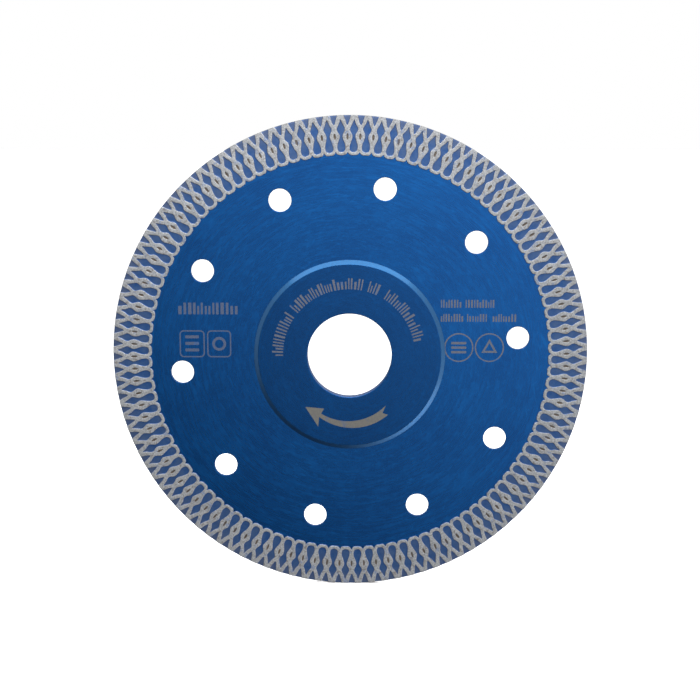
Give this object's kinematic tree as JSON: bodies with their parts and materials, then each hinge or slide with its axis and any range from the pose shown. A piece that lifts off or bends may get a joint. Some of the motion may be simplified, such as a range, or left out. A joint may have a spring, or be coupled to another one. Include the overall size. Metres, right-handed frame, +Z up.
{
  "type": "diamond blade",
  "caption": "Grinder blade with a mesh-pattern sintered diamond rim, cooling holes and a raised, chamfered hub around a round arbor bore.",
  "frame": {"origin": "centre of the blade: on the bore axis, in the middle of the thickness", "axes": "+Y is the spin axis, pointing out of the rear face; -Y points out of the front face, which carries the rotation arrow; +Z is up as the blade hangs with the arrow at the bottom; +X is to the right seen from the front"},
  "size_m": [0.125, 0.0032, 0.125],
  "materials": {
    "core_lacquer": "translucent blue lacquer over ground steel, semi-gloss",
    "hub_lacquer": "the same blue lacquer, slightly darker",
    "sintered_bond": "sintered metal bond with diamond grit, bare on the raised strands and blue-lacquered in the recesses",
    "braze_alloy": "silver braze, hidden",
    "print_grey": "thin grey screen-printed marks"
  },
  "bodies": {
    "root": {"core_disc": "core_lacquer", "diamond_rim": "sintered_bond", "front_hub_plate": "hub_lacquer", "rear_hub_plate": "hub_lacquer", "front_braze_ring": "braze_alloy", "rear_braze_ring": "braze_alloy"}
  },
  "joints": []
}
